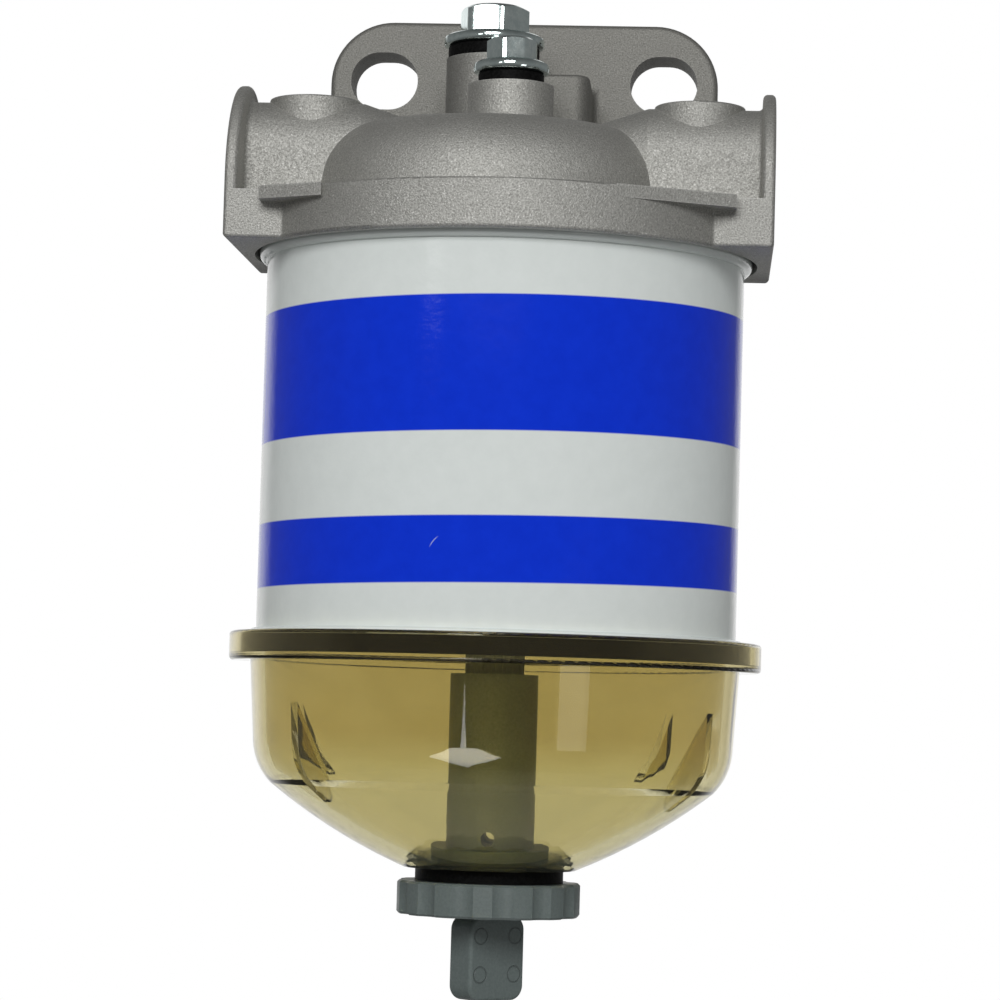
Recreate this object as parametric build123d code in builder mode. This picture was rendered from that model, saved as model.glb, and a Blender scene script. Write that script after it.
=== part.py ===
from build123d import *
import math
import os

# Fuel water separator: a cast head with a paper element and a clear bowl clamped under it.
# The frame: X to the right, Y back to the wall, Z up, millimetres.
# The origin lies on the wall face of the mounting plate, midway between its two slots.

# Wall mounting
skirt_off_wall = 3.7       # skirt stops short of the wall face
plate_width = 74.0
plate_thickness = 10.5
plate_rise = 11.5          # top of the plate above the slots
plate_drop = 35.0          # foot of the plate below the slots
plate_corner = 12.0
plate_foot_corner = 6.0
plate_edge = 1.2           # rounding of the cast edge
slot_pitch = 53.4
slot_length = 12.8
slot_width = 11.0

# Cast head, heights are below the slots
seal_seat_drop = 36.8      # face that the element's seal presses on
skirt_wall = 1.5
skirt_play = 0.9           # skirt's bore past the element's rolled rim
skirt_lip = 3.2            # how far the skirt hangs below the seal seat
skirt_height = 8.4
skirt_edge = 0.4
dome_setback = 11.4        # foot of the dome inside the skirt's outside
dome_draft = 2.0           # how much the dome draws in towards its crown
dome_shift = -2.8          # the dome is cast a little to the left of the axis
dome_height = 13.3         # shoulder of the dome above the skirt's top
dome_crown = 4.3           # rise of the dome's top to its centre
dome_corner = 11.5
dome_root_round = 2.0
head_wall = 4.2
fused_depth = 1.0          # how far one cast body or cut runs on into the next

# Side ears with their ports
ear_proud = 0.9            # ear's outer face past the skirt
ear_front = 28.0           # ear's front face, ahead of the axis
ear_back = 10.0            # back of the ear's flange, behind the axis
ear_block_back = 20.0      # back of its foot block
flange_thickness = 2.2
flange_rise = 2.8          # flange above the crest of the port boss
port_axis_above_seat = 13.6
port_axis_ahead = 9.5
port_boss_radius = 9.7
port_thread_radius = 5.8
side_port_depth = 6.4
gallery_radius = 3.2
top_gallery_radius = 2.7
gallery_into_dome = 6.0    # left gallery past the dome's wall
port_arm_root = 13.0       # port arm starts this far from the axis
port_taper_start = 25.0    # from here in to its root the arm is a cone
port_taper_radius = 5.7    # arm's radius at its root
ear_block_root = 28.0      # ear's foot block starts this far from the axis
riser_radius = 8.0         # upright port bosses
riser_gap = 3.0            # between the boss and the ear's flange
riser_rise = 0.4           # their rim above the port boss's crest
top_port_depth = 5.4
shelf_thickness = 2.2
shelf_start = 40.7         # outer end of both shelves, from the axis
shelf_end = 29.4           # the left shelf stops here
shelf_touch = 63.6         # where the right one touches the skirt, from the sideways axis
ear_edge = 0.8             # rounding of the cast edges and corners
ear_foot_edge = 0.6
riser_edge = 0.3

# Bosses of the two top screws
centre_boss_radius = 7.7
centre_seat_drop = 8.0
bleed_boss_radius = 8.7
bleed_seat_drop = 0.0
bleed_x = -4.4
bleed_behind = 18.0        # bleed screw behind the axis
block_width = 26.6
block_front = 20.0         # front of the block behind the axis
block_drop = 1.8
block_corner = 3.0
block_edge = 0.8
block_root_round = 1.5     # where the block meets the plate
boss_root_round = 1.5      # where the centre boss meets the dome
bleed_root_round = 0.6     # where the bleed boss meets dome and block

# Hub inside the head
hub_radius = 13.5
hub_chamber_radius = 9.5
hub_chamber_height = 9.0
hub_bore_radius = 5.6
hub_gap = 0.4              # hub's end above the element's end plate
hub_arm_wall = 2.1         # wall of the outlet's arm across the inlet space
hub_relief = 1.0           # recess of the skirt stops this far off the hub
spigot_radius = 7.9
spigot_length = 6.5

# Element
can_radius = 42.5
can_wall = 0.6
can_length = 70.6
rim_proud = 1.4            # rolled rims past the can
rim_height = 2.7
rim_round = 1.1
end_wall_play = 0.7        # end plate's upright wall inside the can
end_sink = 4.0             # end plates below the rolled rims
sheet = 0.8
tube_radius = 9.0
tube_wall = 0.6
end_hole_radius = 2.6
end_hole_circle = 27.0
end_hole_count = 12
pleat_count = 36
pleat_play = 0.3           # folds inside the can, and off the end plates
pleat_inner = 11.0
paper_sheet = 0.6

# Seals of the stack
head_seal_thickness = 1.6
head_seal_width = 3.6
bowl_seal_floor = 1.7
bowl_seal_lip = 0.9
o_ring_section = 0.95

# Bowl
bowl_rim_play = 1.3        # rim's bore past the element's rolled rim
bowl_rim_wall = 1.9
bowl_rim_above = 3.8       # rim above the seal's seat
bowl_flange = 1.3
bowl_rim_round = 0.7
bowl_seat_inside = 0.3     # seat runs in past the element's end plate
bowl_wall = 2.4
bowl_depth = 35.5          # flange's underside to the floor's underside
bowl_draft = 0.9
bowl_straight = 14.1
bowl_turn_in = 3.3         # how far the shoulder turns in
bowl_turn_down = 7.3
bowl_cone_bulge = 0.95
bowl_cone_slope = 39.0     # slope of the cone where it leaves the wall
bowl_foot_radius = 15.3
bowl_floor_radius = 14.0
rib_thickness = 2.0
rib_angle = 31.0           # from the sideways axis, before the bowl's turn
rib_start = 4.5            # top of a rib below the flange
rib_length = 17.6
rib_reach = 7.8            # how far its foot stands in from the wall
rib_rooting = 0.8          # how deep it is rooted in the wall
bowl_turn = 7.5            # how far the bowl stands turned in its seat

# Centre column, its nut and the drain
column_radius = 7.8
column_flange_radius = 10.5
column_flange_height = 1.6
neck_radius = 4.9
neck_top_above_can_foot = 9.0
shoulder_below_can_foot = 4.2
neck_rib_count = 16
neck_rib_depth = 0.35
stem_radius = 8.0
insert_radius = 4.1
insert_length = 9.0
stem_setback = 0.3         # end of the stem inside the nut
stem_play = 0.3            # stem in the bowl's hole
drain_thread_radius = 4.0
drain_thread_length = 7.0
drain_seat_radius = 5.8
drain_seat_depth = 3.4
drain_ring_section = 0.8
drain_bore_radius = 2.2
weep_radius = 1.2
weep_rise = 3.4            # weep holes above the bowl's floor
gasket_radius = 13.1
gasket_thickness = 2.3
nut_radius = 16.2
nut_thickness = 5.9
nut_lobes = 14
nut_flute_radius = 3.4
nut_flute_depth = 0.75
nut_edge = 0.4
tab_width = 12.2
tab_thickness = 6.1
tab_drop = 14.9            # tab below the nut
tab_corner = 2.6
tab_edge = 0.7
tab_turn = 42.0            # how far the tab stands turned from the front
tab_gap = 0.3

# Screws, each with a flange under its hexagon and a rubber seal under the flange
centre_bolt_radius = 3.0
centre_hex = 8.0
centre_hex_height = 5.4
centre_flange_radius = 6.4
centre_flange_height = 2.1
centre_hex_turn = 12.4
centre_seal_radius = 5.9
centre_seal_thickness = 2.2
bolt_past_insert = 1.0
bolt_end_room = 2.5
bleed_thread_radius = 4.0
bleed_thread_length = 12.0
bleed_hole_past = 1.0      # threaded hole past the screw's end
bleed_drill_radius = 1.6
bleed_hex = 11.0
bleed_hex_height = 6.6
bleed_flange_radius = 9.0
bleed_flange_height = 2.1
bleed_hex_turn = -12.5
bleed_seal_radius = 8.4
bleed_seal_thickness = 2.4
flange_edge = 0.8          # upright edge of both flanges
thread_lead = 0.6
seal_edge = 0.4
hex_crown_slope = 0.58

# Clearances
thread_clearance = 0.05
bolt_clearance = 0.6
press_gap = 0.02
seal_gap = 0.05

# Radii and offsets worked out from the sizes
rim_radius = can_radius + rim_proud
end_wall_radius = can_radius - can_wall - end_wall_play
skirt_radius = rim_radius + skirt_play + skirt_wall
wall_to_axis = skirt_radius + skirt_off_wall
dome_radius = skirt_radius - dome_setback
ear_half_width = skirt_radius + ear_proud
riser_offset = ear_half_width - flange_thickness - riser_gap - riser_radius
tube_bore = tube_radius - tube_wall
groove_radius = tube_bore - 2 * o_ring_section - 2 * seal_gap
bowl_bore = end_wall_radius - bowl_seat_inside
bowl_top_radius = bowl_bore + bowl_wall
bowl_rim_bore = rim_radius + bowl_rim_play
bowl_rim_radius = bowl_rim_bore + bowl_rim_wall
stem_hole_radius = stem_radius + stem_play
pleat_outer = end_wall_radius - sheet - pleat_play

# Heights worked out from the sizes
axis_y = -wall_to_axis
plate_front_y = -plate_thickness
seal_seat_z = -seal_seat_drop
skirt_foot_z = seal_seat_z - skirt_lip
skirt_top_z = skirt_foot_z + skirt_height
dome_shoulder_z = skirt_top_z + dome_height
dome_top_z = dome_shoulder_z + dome_crown
cavity_top_z = dome_shoulder_z + dome_crown / 2 - head_wall
port_z = seal_seat_z + port_axis_above_seat
port_crest_z = port_z + port_boss_radius
flange_top_z = port_crest_z + flange_rise
riser_top_z = port_crest_z + riser_rise
centre_seat_z = -centre_seat_drop
bleed_seat_z = -bleed_seat_drop
can_top_z = seal_seat_z - head_seal_thickness
can_foot_z = can_top_z - can_length
top_plate_z = can_top_z - end_sink
foot_plate_z = can_foot_z + end_sink
hub_foot_z = top_plate_z + hub_gap
spigot_foot_z = hub_foot_z - spigot_length
bowl_seat_z = can_foot_z - bowl_seal_floor
bowl_rim_top_z = bowl_seat_z + bowl_rim_above
bowl_flange_z = bowl_seat_z - bowl_flange
bowl_foot_z = bowl_flange_z - bowl_depth
bowl_floor_z = bowl_foot_z + bowl_wall
neck_top_z = can_foot_z + neck_top_above_can_foot
shoulder_z = can_foot_z - shoulder_below_can_foot
insert_foot_z = neck_top_z - insert_length
weep_z = bowl_floor_z + weep_rise
nut_top_z = bowl_foot_z - gasket_thickness
nut_foot_z = nut_top_z - nut_thickness
stem_foot_z = nut_foot_z + stem_setback
tab_top_z = stem_foot_z - tab_gap
tab_foot_z = nut_foot_z - tab_drop
drain_seat_z = stem_foot_z + drain_seat_depth
drain_collar_z = drain_seat_z - 2 * drain_ring_section

# Corners of the bowl's section where its wall turns into the cone
wall_foot = (bowl_top_radius - bowl_draft, bowl_flange_z - bowl_straight)
cone_head = (wall_foot[0] - bowl_turn_in, wall_foot[1] - bowl_turn_down)
cone_foot = (bowl_foot_radius, bowl_foot_z)
inner_cone_head = (
    cone_head[0] - bowl_wall * math.sin(math.radians(bowl_cone_slope)),
    cone_head[1] + bowl_wall * math.cos(math.radians(bowl_cone_slope)),
)
inner_wall_foot = (wall_foot[0] - bowl_wall, wall_foot[1])
inner_cone_foot = (bowl_floor_radius, bowl_floor_z)

filter_axis = Axis((0, axis_y, 0), (0, 0, 1))
section = Plane(origin=(0, axis_y, 0), x_dir=(1, 0, 0), z_dir=(0, -1, 0))
dome_axis = Axis((dome_shift, axis_y, 0), (0, 0, 1))
dome_section = Plane(origin=(dome_shift, axis_y, 0), x_dir=(1, 0, 0), z_dir=(0, -1, 0))


def level(z):
    """Horizontal plane at height z, centred on the filter's axis."""
    return Plane(origin=(0, axis_y, z), x_dir=(1, 0, 0), z_dir=(0, 0, 1))


def side(x):
    """Upright plane at x, its own x running back to the wall and its y running up."""
    return Plane(origin=(x, axis_y, 0), x_dir=(0, 1, 0), z_dir=(1, 0, 0))


def shelf_front(x):
    """Front edge of the shelf at x from the axis, on a line that touches the skirt."""
    turn = math.radians(shelf_touch)
    return -(skirt_radius - x * math.cos(turn)) / math.sin(turn)


def bulge_point(start, end, rise):
    """Middle of a shallow arc from start to end, rise off its chord, to the left of the way there."""
    run = end[0] - start[0]
    fall = end[1] - start[1]
    length = math.hypot(run, fall)
    return (start[0] + end[0]) / 2 - fall / length * rise, (start[1] + end[1]) / 2 + run / length * rise


# Cast head
with BuildPart() as filter_head:
    with BuildSketch(Plane.XZ) as plate_outline:
        with Locations((0, (plate_rise - plate_drop) / 2)):
            Rectangle(plate_width, plate_rise + plate_drop)
        fillet(plate_outline.vertices().group_by(Axis.Y)[-1], plate_corner)
        fillet(plate_outline.vertices().group_by(Axis.Y)[0], plate_foot_corner)
    extrude(amount=plate_thickness)
    fillet(filter_head.faces().sort_by(Axis.Y)[0].edges(), plate_edge)

    # Block between the plate and the bleed screw's boss
    block_back = wall_to_axis - plate_thickness + fused_depth
    with BuildSketch(level(cavity_top_z)) as block_outline:
        with Locations((0, (block_front + block_back) / 2)):
            Rectangle(block_width, block_back - block_front)
        fillet(block_outline.vertices().group_by(Axis.Y)[0], block_corner)
    extrude(amount=-block_drop - cavity_top_z)
    fillet(filter_head.edges(Select.NEW).sort_by(Axis.Z)[1:], block_root_round)
    block_rim = filter_head.faces().filter_by(Axis.Z).sort_by_distance((0, axis_y + block_front, -block_drop))[0]
    fillet(block_rim.edges().sort_by(Axis.Y)[:-1], block_edge)

    # Ears: a foot block each, and an upright flange with an arched top
    for hand in (-1, 1):
        with BuildSketch(level(skirt_foot_z)):
            Polygon(
                (hand * ear_half_width, -ear_front),
                (hand * ear_half_width, ear_block_back),
                (hand * ear_block_root, ear_block_back),
                (hand * ear_block_root, -ear_front),
                align=None,
            )
        extrude(amount=skirt_height)
        flange_x = hand * (ear_half_width - flange_thickness)
        arch_foot_z = flange_top_z - (ear_front + ear_back) / 2
        with BuildSketch(side(flange_x)):
            with BuildLine():
                Polyline(
                    (-ear_front, arch_foot_z),
                    (-ear_front, skirt_foot_z),
                    (ear_back, skirt_foot_z),
                    (ear_back, arch_foot_z),
                )
                ThreePointArc(
                    (ear_back, arch_foot_z),
                    ((ear_back - ear_front) / 2, flange_top_z),
                    (-ear_front, arch_foot_z),
                )
            make_face()
        extrude(amount=hand * flange_thickness)
        fillet(filter_head.faces().sort_by(Axis.X)[-1 if hand > 0 else 0].edges(), ear_edge)
        arches = filter_head.edges().filter_by(GeomType.CIRCLE)
        fillet(arches.filter_by_position(Axis.X, flange_x - press_gap, flange_x + press_gap), ear_edge)

    # Skirt, and the corners where the ears stand out of it
    with BuildSketch(section) as skirt_outline:
        with Locations((skirt_radius / 2, skirt_foot_z + skirt_height / 2)):
            Rectangle(skirt_radius, skirt_height)
        fillet(skirt_outline.vertices().sort_by_distance((skirt_radius, skirt_top_z))[0], skirt_edge)
    revolve(axis=filter_axis)
    fillet(filter_head.edges(Select.NEW).filter_by(Axis.Z).sort_by(Axis.Y)[:2], ear_edge)
    foot_edges = filter_head.edges().filter_by_position(Axis.Z, skirt_foot_z - press_gap, skirt_foot_z + press_gap)
    fillet(foot_edges.filter_by(Axis.X).sort_by(Axis.Y)[:2], ear_foot_edge)

    # Dome, with a casting round where it stands on the skirt
    dome_ledge = dome_radius + 2 * dome_root_round
    with BuildSketch(dome_section) as dome_outline:
        with BuildLine():
            Polyline(
                (0, skirt_foot_z),
                (dome_ledge, skirt_foot_z),
                (dome_ledge, skirt_top_z),
                (dome_radius, skirt_top_z),
                (dome_radius - dome_draft, dome_shoulder_z),
                (0, dome_top_z),
                close=True,
            )
        make_face()
        fillet(dome_outline.vertices().sort_by_distance((dome_radius, dome_shoulder_z))[0], dome_corner)
        fillet(dome_outline.vertices().sort_by_distance((dome_radius, skirt_top_z))[0], dome_root_round)
    revolve(axis=dome_axis)

    # Boss of the centre bolt
    with BuildSketch(level(centre_seat_z)):
        Circle(centre_boss_radius)
    extrude(amount=cavity_top_z - centre_seat_z)
    fillet(filter_head.edges(Select.NEW).sort_by(Axis.Z)[0], boss_root_round)

    # Boss of the bleed screw
    with BuildSketch(level(bleed_seat_z)):
        with Locations((bleed_x, bleed_behind)):
            Circle(bleed_boss_radius)
    extrude(amount=cavity_top_z - bleed_seat_z)
    fillet(filter_head.edges(Select.NEW).filter_by_position(Axis.Z, port_z, dome_top_z), bleed_root_round)

    for hand in (-1, 1):
        # Shelf ahead of the ear: the right one runs on till it touches the skirt, the left one is cut off
        shelf_tip = shelf_end if hand < 0 else skirt_radius * math.cos(math.radians(shelf_touch))
        with BuildSketch(level(skirt_top_z - shelf_thickness)):
            Polygon(
                (hand * shelf_start, shelf_front(shelf_start)),
                (hand * shelf_tip, shelf_front(shelf_tip)),
                (hand * shelf_tip, -ear_front / 2),
                (hand * shelf_start, -ear_front / 2),
                align=None,
            )
        extrude(amount=shelf_thickness)

        # Port arm with a round crest and a flat front, drawn in to a cone where it meets the dome
        flange_x = hand * (ear_half_width - flange_thickness)
        arm_axis = Axis((0, axis_y - port_axis_ahead, port_z), (1, 0, 0))
        arm_start = hand * (ear_half_width - flange_thickness / 2)
        with BuildSketch(Plane(origin=arm_axis.position, x_dir=(1, 0, 0), z_dir=(0, -1, 0))):
            Polygon(
                (hand * port_arm_root, 0),
                (arm_start, 0),
                (arm_start, port_boss_radius),
                (hand * port_taper_start, port_boss_radius),
                (hand * port_arm_root, port_taper_radius),
                align=None,
            )
        revolve(axis=arm_axis)
        with BuildSketch(side(arm_start)):
            with Locations((-port_axis_ahead, (port_z + skirt_foot_z) / 2)):
                Rectangle(2 * port_boss_radius, port_z - skirt_foot_z)
        extrude(amount=hand * port_taper_start - arm_start)
        on_flange = filter_head.edges().filter_by_position(Axis.X, flange_x - press_gap, flange_x + press_gap)
        arm_y = axis_y - port_axis_ahead
        arm_reach = port_boss_radius + press_gap
        fillet(on_flange.filter_by_position(Axis.Y, arm_y - arm_reach, arm_y + arm_reach), ear_edge)

        # Upright boss of the top port
        with BuildSketch(level(riser_top_z)):
            with Locations((hand * riser_offset, -port_axis_ahead)):
                Circle(riser_radius)
        extrude(amount=port_z - riser_top_z)
        riser_rim = filter_head.edges(Select.LAST).filter_by(GeomType.CIRCLE).sort_by(Axis.Z)[-1]
        fillet(riser_rim, riser_edge)

    # Inlet space under the dome, round the hub
    with BuildSketch(dome_section) as cavity_outline:
        with BuildLine():
            Polyline(
                (0, seal_seat_z),
                (dome_radius - head_wall, seal_seat_z),
                (dome_radius - head_wall - dome_draft, cavity_top_z),
                (0, cavity_top_z),
                close=True,
            )
        make_face()
        fillet(cavity_outline.vertices().sort_by_distance((dome_radius, cavity_top_z))[0], dome_corner - head_wall)
    revolve(axis=dome_axis, mode=Mode.SUBTRACT)
    with BuildSketch(level(hub_foot_z)):
        Circle(hub_radius)
    extrude(amount=cavity_top_z - hub_foot_z + fused_depth)
    with BuildSketch(level(spigot_foot_z)):
        Circle(spigot_radius)
    extrude(amount=spigot_length)
    with BuildSketch(side(hub_chamber_radius / 2)):
        with Locations((-port_axis_ahead, port_z)):
            Circle(gallery_radius + hub_arm_wall)
    extrude(amount=dome_radius - hub_chamber_radius)

    # Recess that takes the element's rolled rim
    with BuildSketch(level(skirt_foot_z)):
        Circle(skirt_radius - skirt_wall)
        Circle(hub_radius + hub_relief, mode=Mode.SUBTRACT)
    extrude(amount=skirt_lip, mode=Mode.SUBTRACT)

    # Outlet chamber in the hub, and the bolt's way through
    with BuildSketch(level(cavity_top_z - hub_chamber_height)):
        Circle(hub_chamber_radius)
    extrude(amount=hub_chamber_height, mode=Mode.SUBTRACT)
    with BuildSketch(level(spigot_foot_z)):
        Circle(hub_bore_radius)
    extrude(amount=cavity_top_z - hub_chamber_height - spigot_foot_z, mode=Mode.SUBTRACT)
    with BuildSketch(level(cavity_top_z)):
        Circle(centre_bolt_radius + bolt_clearance)
    extrude(amount=centre_seat_z - cavity_top_z, mode=Mode.SUBTRACT)

    # Groove of the upper centre seal
    with BuildSketch(level(spigot_foot_z + spigot_length / 2 - o_ring_section - seal_gap)):
        Circle(spigot_radius)
        Circle(groove_radius, mode=Mode.SUBTRACT)
    extrude(amount=2 * (o_ring_section + seal_gap), mode=Mode.SUBTRACT)

    # Ports, top and side, and the galleries behind them
    for hand in (-1, 1):
        with BuildSketch(side(hand * ear_half_width)):
            with Locations((-port_axis_ahead, port_z)):
                Circle(port_thread_radius)
        extrude(amount=-hand * side_port_depth, mode=Mode.SUBTRACT)
        gallery_end = hub_chamber_radius / 2 if hand > 0 else dome_radius - head_wall - gallery_into_dome
        with BuildSketch(side(hand * ear_half_width)):
            with Locations((-port_axis_ahead, port_z)):
                Circle(gallery_radius)
        extrude(amount=-hand * (ear_half_width - gallery_end), mode=Mode.SUBTRACT)
        with BuildSketch(level(riser_top_z)):
            with Locations((hand * riser_offset, -port_axis_ahead)):
                Circle(port_thread_radius)
        extrude(amount=-top_port_depth, mode=Mode.SUBTRACT)
        with BuildSketch(level(riser_top_z)):
            with Locations((hand * riser_offset, -port_axis_ahead)):
                Circle(top_gallery_radius)
        extrude(amount=port_z - riser_top_z, mode=Mode.SUBTRACT)

    # Bleed hole, threaded above and drilled on into the inlet space
    with BuildSketch(level(bleed_seat_z)):
        with Locations((bleed_x, bleed_behind)):
            Circle(bleed_thread_radius + thread_clearance)
    extrude(amount=-bleed_thread_length - bleed_hole_past, mode=Mode.SUBTRACT)
    with BuildSketch(level(bleed_seat_z)):
        with Locations((bleed_x, bleed_behind)):
            Circle(bleed_drill_radius)
    extrude(amount=cavity_top_z - bleed_seat_z - fused_depth, mode=Mode.SUBTRACT)

    # Slots in the mounting plate
    with BuildSketch(Plane.XZ):
        with Locations((-slot_pitch / 2, 0), (slot_pitch / 2, 0)):
            SlotOverall(slot_length, slot_width)
    extrude(amount=plate_thickness, mode=Mode.SUBTRACT)

filter_head.part.label = "filter_head"


# Seal between the head and the element's upper rim
with BuildPart() as head_seal_ring:
    with BuildSketch(level(can_top_z)):
        Circle(rim_radius)
        Circle(rim_radius - head_seal_width, mode=Mode.SUBTRACT)
    extrude(amount=head_seal_thickness)
head_seal_ring.part.label = "head_seal_ring"

# O-ring in the groove of the head's spigot
with BuildPart() as upper_centre_seal:
    with BuildSketch(section):
        with Locations((tube_bore - seal_gap - o_ring_section, spigot_foot_z + spigot_length / 2)):
            Circle(o_ring_section)
    revolve(axis=filter_axis)
upper_centre_seal.part.label = "upper_centre_seal"

# Steel can of the element with its two rolled rims
with BuildPart() as element_can:
    with BuildSketch(section):
        with Locations((can_radius - can_wall / 2, (can_top_z + can_foot_z) / 2)):
            Rectangle(can_wall, can_length - rim_height)
    revolve(axis=filter_axis)
    for rim_z in (can_top_z - rim_height / 2, can_foot_z + rim_height / 2):
        with BuildSketch(section) as rim_outline:
            with Locations(((end_wall_radius + rim_radius) / 2, rim_z)):
                Rectangle(rim_radius - end_wall_radius, rim_height)
            fillet(rim_outline.vertices().group_by(Axis.X)[-1], rim_round)
        revolve(axis=filter_axis)
element_can.part.label = "element_can"


def end_plate(rim_z, plate_z, hand, name):
    """Pressed end plate of the element: upright wall, flat disc, ring of holes."""
    with BuildPart() as plate:
        with BuildSketch(section):
            with Locations((end_wall_radius - sheet / 2, (rim_z + plate_z) / 2)):
                Rectangle(sheet, abs(rim_z - plate_z))
        revolve(axis=filter_axis)
        with BuildSketch(level(plate_z)):
            Circle(end_wall_radius)
            Circle(tube_radius, mode=Mode.SUBTRACT)
            with PolarLocations(end_hole_circle, end_hole_count):
                Circle(end_hole_radius, mode=Mode.SUBTRACT)
        extrude(amount=hand * sheet)
    plate.part.label = name
    return plate


element_top_cap = end_plate(can_top_z, top_plate_z, -1, "element_top_cap")
element_bottom_cap = end_plate(can_foot_z, foot_plate_z, 1, "element_bottom_cap")

# Centre tube between the two end plates
with BuildPart() as element_centre_tube:
    with BuildSketch(level(foot_plate_z)):
        Circle(tube_radius)
        Circle(tube_radius - tube_wall, mode=Mode.SUBTRACT)
    extrude(amount=top_plate_z - foot_plate_z)
element_centre_tube.part.label = "element_centre_tube"


def pleats(tip, valley, tip_half, valley_half):
    """Corners of a pleated outline, two at each fold's tip and two in the valley after it."""
    corners = []
    for fold in range(pleat_count):
        middle = 2 * math.pi * fold / pleat_count
        between = middle + math.pi / pleat_count
        for radius, turn in (
            (tip, middle - tip_half / tip),
            (tip, middle + tip_half / tip),
            (valley, between - valley_half / valley),
            (valley, between + valley_half / valley),
        ):
            corners.append((radius * math.cos(turn), radius * math.sin(turn)))
    return corners


# Pleated paper, one zigzag sheet with its folds closed up at the inside
with BuildPart() as element_paper:
    fold_span = (pleat_outer - pleat_inner) * paper_sheet * pleat_count / math.pi
    with BuildSketch(level(foot_plate_z + sheet + pleat_play)):
        Polygon(
            *pleats(pleat_outer, pleat_inner + fold_span / pleat_inner / 2, paper_sheet, paper_sheet / 4),
            align=None,
        )
        Polygon(
            *pleats(pleat_outer - fold_span / pleat_outer, pleat_inner, paper_sheet / 4, paper_sheet / 2),
            align=None,
            mode=Mode.SUBTRACT,
        )
    extrude(amount=top_plate_z - foot_plate_z - 2 * (sheet + pleat_play))
element_paper.part.label = "element_paper"

# Grommet that seals the column's neck in the centre tube
with BuildPart() as lower_centre_seal:
    with BuildSketch(level(foot_plate_z)):
        Circle(tube_bore - seal_gap)
        Circle(neck_radius + seal_gap, mode=Mode.SUBTRACT)
    extrude(amount=neck_top_z - foot_plate_z)
lower_centre_seal.part.label = "lower_centre_seal"

# Seal between the element's lower rim and the bowl, with a lip round the rim
with BuildPart() as bowl_seal_ring:
    with BuildSketch(section):
        with BuildLine():
            Polyline(
                (bowl_bore + seal_gap, bowl_seat_z),
                (bowl_rim_bore - seal_gap, bowl_seat_z),
                (bowl_rim_bore - seal_gap, bowl_rim_top_z - bowl_rim_round),
                (bowl_rim_bore - bowl_seal_lip, bowl_rim_top_z - bowl_rim_round),
                (bowl_rim_bore - bowl_seal_lip, can_foot_z),
                (bowl_bore + seal_gap, can_foot_z),
                close=True,
            )
        make_face()
    revolve(axis=filter_axis)
bowl_seal_ring.part.label = "bowl_seal_ring"

# Clear bowl
with BuildPart() as sediment_bowl:
    with BuildSketch(section):
        with BuildLine():
            inner_wall_line = Line((bowl_bore, bowl_seat_z), inner_wall_foot)
            Polyline(
                (bowl_bore, bowl_seat_z),
                (bowl_rim_bore, bowl_seat_z),
                (bowl_rim_bore, bowl_rim_top_z),
                (bowl_rim_radius, bowl_rim_top_z),
                (bowl_rim_radius, bowl_flange_z),
                (bowl_top_radius, bowl_flange_z),
            )
            wall_line = Line((bowl_top_radius, bowl_flange_z), wall_foot)
            TangentArc(wall_foot, cone_head, tangent=wall_line % 1)
            ThreePointArc(cone_head, bulge_point(cone_head, cone_foot, bowl_cone_bulge), cone_foot)
            Polyline(
                cone_foot,
                (stem_hole_radius, bowl_foot_z),
                (stem_hole_radius, bowl_floor_z),
                inner_cone_foot,
            )
            ThreePointArc(
                inner_cone_foot,
                bulge_point(inner_cone_foot, inner_cone_head, -bowl_cone_bulge),
                inner_cone_head,
            )
            TangentArc(inner_wall_foot, inner_cone_head, tangent=inner_wall_line % 0)
        make_face()
    revolve(axis=filter_axis)
    rim_edges = sediment_bowl.edges().filter_by(GeomType.CIRCLE)
    fillet(rim_edges.filter_by(lambda edge: abs(edge.radius - bowl_rim_radius) < seal_gap), bowl_rim_round)
    # Upright ribs, two on each side, rooted in the wall and the cone
    rib_top_z = bowl_flange_z - rib_start
    rib_root = bowl_bore + rib_rooting
    rib_tip = bowl_bore - rib_reach
    cone_fall = (inner_cone_head[1] - bowl_floor_z) / (inner_cone_head[0] - bowl_floor_radius)
    rib_foot_z = inner_cone_head[1] - (inner_cone_head[0] - rib_tip) * cone_fall - bowl_cone_bulge - rib_rooting
    for rib_side in (rib_angle, -rib_angle, 180 - rib_angle, 180 + rib_angle):
        rib_turn = math.radians(rib_side + bowl_turn)
        outward = (math.cos(rib_turn), math.sin(rib_turn), 0)
        across = (outward[1], -outward[0], 0)
        with BuildSketch(Plane(origin=(0, axis_y, 0), x_dir=outward, z_dir=across)):
            Polygon(
                (rib_root, rib_top_z),
                (rib_tip, rib_top_z - rib_length),
                (rib_tip, rib_foot_z),
                (inner_cone_head[0] + rib_rooting, inner_cone_head[1] - rib_rooting),
                (inner_wall_foot[0] + rib_rooting, inner_wall_foot[1]),
                align=None,
            )
        extrude(amount=rib_thickness / 2, both=True)
sediment_bowl.part.label = "sediment_bowl"

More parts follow.
